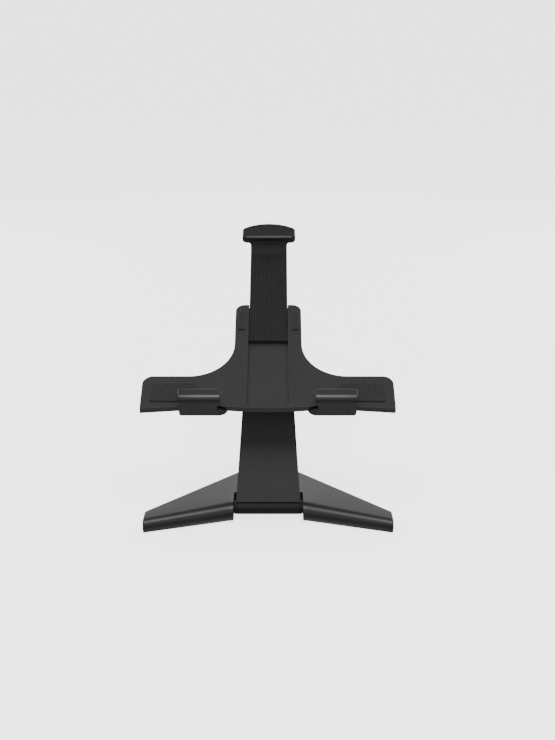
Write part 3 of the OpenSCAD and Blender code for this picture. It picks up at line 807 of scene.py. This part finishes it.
tee_low, tee_high = node_box("clamp_tee", CRADLE)
tee_half = tee_high[0]
tee_top = tee_high[1]
tee_back = tee_low[2]
tee_front = tee_high[2]
stem_half = 16.9
stem_end = tee_low[1]
stem_front = -1
stem_corner = 0.8
stem_back_ease = 0.5
stem_end_ease = 0.4
lip_u = tee_top - 21
ear_back = 5.8
ear_rim = 0.6
ear_corner = 4.5
# the face's rim is rounder below, at the nose, than at the crown
nose_round = 3.2
crown_round = 1.6
head_dome = 0.4
arch_corner = 4.5
arch_drop = 7.4
arch_r = (tee_half ** 2 + arch_drop ** 2) / (2 * arch_drop)
arch_u = tee_top - arch_r
neck_fillet = (1.6, 2.4)
neck_rim = 1.2
throat_r = 10
throat_lean = 20
nose_n = 8.4
rib_pitch = 2.5
rib_count = 13
rib_depth = 0.6
# the ribs run out between these heights of the throat
rib_end_n = (6.4, 8.2)
slide_half = 19
slide_top_u = 34
slide_front = -3
strip_room = 0.1
# points across the stem's back and across its ribs
back_points = 12
rib_points = 157


def dome(u):
    """How far the head's face lies behind its foremost line."""
    return head_dome * max(0.0, (u - lip_u - nose_round) / (tee_top - lip_u - nose_round)) ** 2


def head_outline():
    """Outline of the head in (x, u): flat below, round ear corners, arched top."""
    side = tee_half - arch_corner
    corner_u = arch_u + math.sqrt((arch_r - arch_corner) ** 2 - side ** 2)
    touch = math.degrees(math.atan2(corner_u - arch_u, side))
    right = arc((tee_half - ear_corner, lip_u + ear_corner), ear_corner, -90, 0, 7)
    right += [(tee_half, lerp(lip_u + ear_corner, corner_u, t)) for t in (0.25, 0.5, 0.75)]
    right += arc((side, corner_u), arch_corner, 0, touch, 5)
    right += arc((0, arch_u), arch_r, touch, 90, 16)[1:-1] + [(0, tee_top)]
    return mirrored(right)


def make_head():
    """Head of the clamp: its face is closed by strips across, so that it can be domed."""
    outline = head_outline()
    rings = eased_rings(outline, ear_back, ear_rim)
    rounding = [lerp(nose_round, crown_round, smooth((u - lip_u) / (tee_top - lip_u)))
                for x, u in outline]
    for turn in range(0, 91, 10):
        a = math.radians(turn)
        ring = inset_outline(outline, np.array(rounding)[:, None] * (1 - math.cos(a)))
        rings.append([(x, u, tee_front - dome(u) - r * (1 - math.sin(a)))
                      for (x, u), r in zip(ring, rounding)])
    head = loft("clamp_head", rings, CRADLE, cap_last=False)
    build = bmesh.new()
    build.from_mesh(head.data)
    build.verts.ensure_lookup_table()
    count = len(outline)
    rim = build.verts[-count:]
    for k in range(count // 2):
        corners = (rim[k], rim[k + 1], rim[count - 2 - k], rim[count - 1 - k])
        build.faces.new(dict.fromkeys(corners))
    bmesh.ops.recalc_face_normals(build, faces=build.faces)
    build.to_mesh(head.data)
    build.free()
    return head


def neck_outline(half):
    """Outline of the neck in (x, u), a hair inside the head's lower edge and arch."""
    right = [(half, lip_u + 0.03)]
    for k in range(9):
        x = half * (1 - k / 8)
        right.append((x, arch_u + math.sqrt(arch_r ** 2 - x * x) - 0.05))
    return mirrored(right)


def make_neck():
    """Middle of the head behind its ears, with a fillet that widens it towards them."""
    rings = eased_rings(neck_outline(stem_half), tee_back, neck_rim)
    wide, deep = neck_fillet
    for turn in range(0, 91, 15):
        a = math.radians(turn)
        ring = neck_outline(stem_half + wide * (1 - math.cos(a)))
        rings.append([(x, u, ear_back - deep * (1 - math.sin(a))) for x, u in ring])
    rings.append([(x, u, ear_back + 1) for x, u in neck_outline(stem_half + wide)])
    return loft("neck", rings, CRADLE)


def stem_ring(u, front):
    """Cross-section of the stem at u: flat back, straight sides, ribs on the front face."""
    flat = stem_half - stem_back_ease
    side = stem_half - stem_corner
    shape = [(x, tee_back) for x in np.linspace(-flat, flat, back_points)]
    shape += [(stem_half, tee_back + stem_back_ease), (stem_half, front - stem_corner)]
    shape += arc((side, front - stem_corner), stem_corner, 30, 80, 2)
    ripple = rib_depth * (1 - smooth((front - rib_end_n[0]) / (rib_end_n[1] - rib_end_n[0])))
    for x in np.linspace(side, -side, rib_points):
        on_ribs = abs(x) < rib_pitch * rib_count / 2
        groove = 0.5 - 0.5 * math.cos(2 * math.pi * (x / rib_pitch + 0.5))
        shape.append((x, front - (ripple * groove ** 1.5 if on_ribs else 0)))
    shape += arc((-side, front - stem_corner), stem_corner, 100, 150, 2)
    shape += [(-stem_half, front - stem_corner), (-stem_half, tee_back + stem_back_ease)]
    return [(x, u, n) for x, n in shape]


def make_stem():
    """Ribbed stem, which rises to the head's nose in a round throat and a straight lean."""
    path = [(stem_end, stem_front - stem_end_ease), (stem_end + stem_end_ease, stem_front)]
    lean = math.radians(throat_lean)
    rest = nose_n - stem_front - throat_r * (1 - math.sin(lean))
    throat_u = lip_u - throat_r * math.cos(lean) - rest * math.tan(lean)
    path += [(u, stem_front) for u in np.linspace(stem_end + 3, throat_u - 1, 24)]
    path += arc((throat_u, stem_front + throat_r), throat_r, 270, 360 - throat_lean, 36)
    path += [(lip_u - (nose_n - front) * math.tan(lean), front)
             for front in np.linspace(nose_n - rest, nose_n, 12)[1:]]
    path.append((lip_u + 1, nose_n + 0.1))
    return loft("stem", [stem_ring(u, front) for u, front in path], CRADLE)


def make_clamp():
    """The clamp in one piece: stem, neck, head, the slide in the cradle and the strip's recess."""
    tee = make_stem()
    shade(tee, rib_black)
    slide = block((-slide_half, stem_end + APART, tee_back + APART),
                  (slide_half, slide_top_u, slide_front), CRADLE)
    low, high = node_box("clamp_strip", CRADLE)
    recess = block((low[0] - strip_room, low[1] - strip_room, tee_back - 1),
                   (high[0] + strip_room, high[1] + strip_room, high[2]), CRADLE)
    parts = (make_neck(), make_head(), slide)
    for part in parts:
        shade(part, clamp_black)
    add(tee, *parts)
    shade(recess, rib_black)
    cut(tee, recess)
    tee.name = tee.data.name = "clamp_tee_cover"
    shade(tee, angle=40)
    finish_piece(tee, "clamp", "clamp_plastic", "clamp_tee")


make_clamp()


# ---------------------------------------------------------------------------------------------
# Screws: domed heads with a cross recess, cut threads

head_r = 2.5
head_h = 1.3
thread_r = 1.25
root_r = 1.0
pitch = 0.8
cross_half = 1.35
cross_w = 0.28
cross_depth = 0.75
screw_turns = 28
# radians that the first screw's cross is turned by, and each further one's
first_twist = 0.3
next_twist = 0.7


def screw_mesh(length):
    """A screw along +Z in millimetres, the top of its head at 0, turned from places and radii."""
    profile = [(0.0, 0.5), (0.04, 1.0)]
    profile += [(head_h * 0.75 * (1 - math.cos(a)), 1 + (head_r - 1) * math.sin(a))
                for a in (0.35, 0.7, 1.05, 1.35, math.pi / 2)]
    profile += [(head_h - 0.08, head_r), (head_h, head_r - 0.08), (head_h, root_r + 0.05)]
    z = head_h + 0.3
    while z < length - pitch:
        profile += [(z, root_r), (z + pitch * 0.3, root_r)]
        profile += [(z + pitch * 0.6, thread_r), (z + pitch * 0.7, thread_r)]
        z += pitch
    profile += [(length - 0.3, root_r), (length, 0.4)]
    rings = [[(x, y, z) for x, y in circle((0, 0), r, screw_turns)] for z, r in profile]
    plain = Matrix.Identity(4)
    screw = loft("screw", rings, plain)
    cut(screw, *(block((-x, -y, -1), (x, y, cross_depth), plain)
                 for x, y in ((cross_half, cross_w), (cross_w, cross_half))))
    mesh = screw.data
    bpy.data.objects.remove(screw)
    return mesh


def make_screws(node, name, body, slot, space, axis, sign):
    """One piece for a CAD node of identical screws. Their tips point along an axis of the local frame,
    forwards or backwards, and each is turned differently."""
    boxes = solids(node, space)
    length = boxes[0][1][axis] - boxes[0][0][axis]
    template = screw_mesh(length)
    build = bmesh.new()
    for number, (low, high) in enumerate(boxes):
        centre = (low + high) / 2
        centre[axis] = low[axis] if sign > 0 else high[axis]
        turn = Matrix.Identity(4) if axis == 2 else Matrix.Rotation(math.radians(90), 4, "X")
        twist = Matrix.Rotation(next_twist * number + first_twist, 4, "Z")
        placed = template.copy()
        placed.transform(space @ Matrix.Translation(Vector(centre)) @ turn @ twist)
        build.from_mesh(placed)
        bpy.data.meshes.remove(placed)
    mesh = bpy.data.meshes.new(name)
    build.to_mesh(mesh)
    build.free()
    group = new_object(name, mesh)
    shade(group, SLOT_MATERIAL[slot], 40)
    finish_piece(group, body, slot, node)


make_screws("base_screws", "base_cross_screws", "base", "screw_steel", ROW, 2, 1)
make_screws("arm_screws", "arm_cross_screws", "arm", "black_steel", ARM, 1, -1)
make_screws("cradle_screws", "cradle_cross_screws", "cradle", "black_steel", CRADLE, 2, 1)
make_screws("hook_screws", "hook_cross_screws", "cradle", "black_steel", CRADLE, 2, 1)


# ---------------------------------------------------------------------------------------------
# Studio: pale glowing floor, surround that is brightest a little above the horizon, soft lights

# metres from here on
floor_half = 30
floor_glow = 2.4
# heights on the sphere of the surround, from -1 straight below to 1 overhead, and brightness there
SURROUND = ((-1, 0.7), (-0.25, 0.12), (0.02, 0.88), (0.38, 1.05), (0.52, 0.45), (0.72, 0.12), (1, 1))
# place, aim, width and height, and watts
LIGHTS = {
    "key": ((0.0, -0.55, 0.95), (0, 0.03, 0.05), (0.6, 0.4), 8),
    "back": ((0.0, 1.5, 0.72), (0, 0, 0.02), (0.45, 0.5), 1.2),
    "rim_left": ((-0.9, 0.9, 0.5), (0, 0.05, 0.1), (0.6, 0.6), 5),
    "rim_right": ((0.9, 0.9, 0.5), (0, 0.05, 0.1), (0.6, 0.6), 5),
}
camera_place = (0.00806, -0.93617, 0.48066)
# degrees up from straight down, and millimetres
camera_pitch = 70
camera_lens = 57.75
film_width = 36


def floor_material():
    material = bpy.data.materials.new("floor_white")
    material.use_nodes = True
    shader = material.node_tree.nodes["Principled BSDF"]
    shader.inputs["Base Color"].default_value = (0.9, 0.9, 0.9, 1)
    shader.inputs["Roughness"].default_value = 0.9
    shader.inputs["Specular IOR Level"].default_value = 0.0
    shader.inputs["Emission Color"].default_value = (1, 1, 1, 1)
    shader.inputs["Emission Strength"].default_value = floor_glow
    return material


def soft_light(name, place, aim, size, power):
    data = bpy.data.lights.new(name, "AREA")
    data.shape = "RECTANGLE"
    data.size, data.size_y = size
    data.energy = power
    lamp = new_object(name, data)
    lamp.location = place
    lamp.visible_camera = False
    lamp.rotation_euler = (Vector(aim) - Vector(place)).to_track_quat("-Z", "Y").to_euler()


def make_surround():
    world = bpy.data.worlds.new("surround")
    bpy.context.scene.world = world
    world.use_nodes = True
    tree = world.node_tree
    place = add_node(tree, "TexCoord")
    split = add_node(tree, "SeparateXYZ")
    tree.links.new(place.outputs["Generated"], split.inputs["Vector"])
    grade = add_node(tree, "ValToRGB")
    stops = grade.color_ramp.elements
    for height, _ in SURROUND[1:-1]:
        stops.new((height + 1) / 2)
    for stop, (_, level) in zip(stops, SURROUND):
        stop.color = (level, level, level, 1)
    lift = add_node(tree, "MapRange", From_Min=-1.0)
    tree.links.new(split.outputs["Z"], lift.inputs["Value"])
    tree.links.new(lift.outputs["Result"], grade.inputs["Fac"])
    background = tree.nodes["Background"]
    tree.links.new(grade.outputs["Color"], background.inputs["Color"])
    background.inputs["Strength"].default_value = 1.0


def make_studio():
    make_surround()
    build = bmesh.new()
    bmesh.ops.create_grid(build, x_segments=1, y_segments=1, size=floor_half)
    mesh = bpy.data.meshes.new("floor")
    build.to_mesh(mesh)
    build.free()
    floor = new_object("floor", mesh)
    floor.data.materials.append(floor_material())
    # the floor's glow and shadow stay off the object: gaps stay dark, and the surround lights what
    # faces down
    floor.visible_diffuse = False
    floor.visible_glossy = False
    floor.visible_shadow = False
    for name, setting in LIGHTS.items():
        soft_light(name, *setting)
    camera = new_object("camera", bpy.data.cameras.new("camera"))
    camera.location = camera_place
    camera.rotation_euler = (math.radians(camera_pitch), 0, 0)
    camera.data.lens = camera_lens
    camera.data.sensor_width = film_width
    bpy.context.scene.camera = camera


make_studio()
